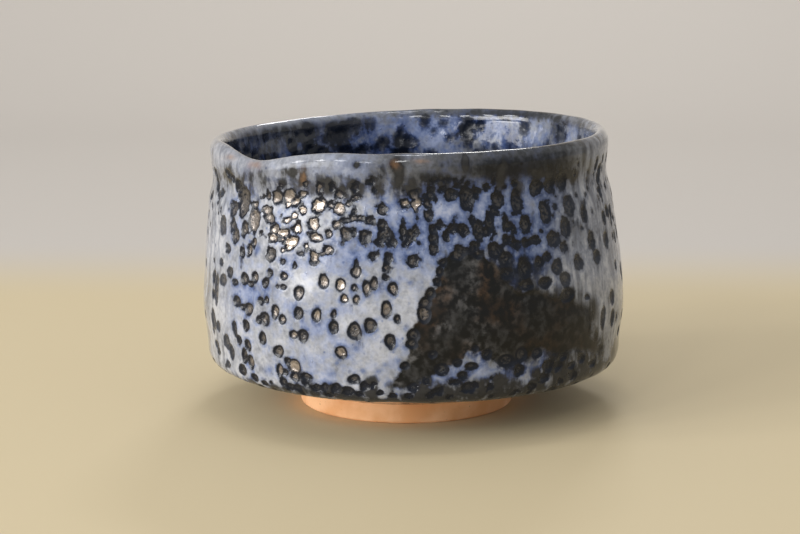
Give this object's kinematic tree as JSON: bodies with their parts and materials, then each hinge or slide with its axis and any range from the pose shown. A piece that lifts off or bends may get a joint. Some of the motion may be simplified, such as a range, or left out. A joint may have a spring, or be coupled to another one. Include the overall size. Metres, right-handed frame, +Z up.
{
  "type": "matcha bowl",
  "caption": "Hand-formed stoneware tea bowl with a waving lip, drawn-in neck, low foot ring and pitted pale blue glaze over dark iron slip.",
  "frame": {"origin": "middle of the bowl's box, at the table that the foot ring stands on", "axes": "+Z up, out of the bowl's mouth; -Y to the front, where the dark window in the glaze is; +X to the right seen from the front"},
  "size_m": [0.1204, 0.1196, 0.0791],
  "materials": {
    "bare_clay": "unglazed, fine vertical grain with dark specks",
    "iron_slip": "semi-matte, brown-black",
    "pale_glaze": "glossy, pitted",
    "lip_glaze": "glossy, thin, grey to rust brown",
    "inner_glaze": "glossy, deeper blue"
  },
  "bodies": {
    "root": {"clay_body": "bare_clay", "foot_ring": "bare_clay", "iron_slip": "iron_slip", "outer_glaze": "pale_glaze", "lip_glaze": "lip_glaze", "inner_glaze": "inner_glaze"}
  },
  "joints": []
}
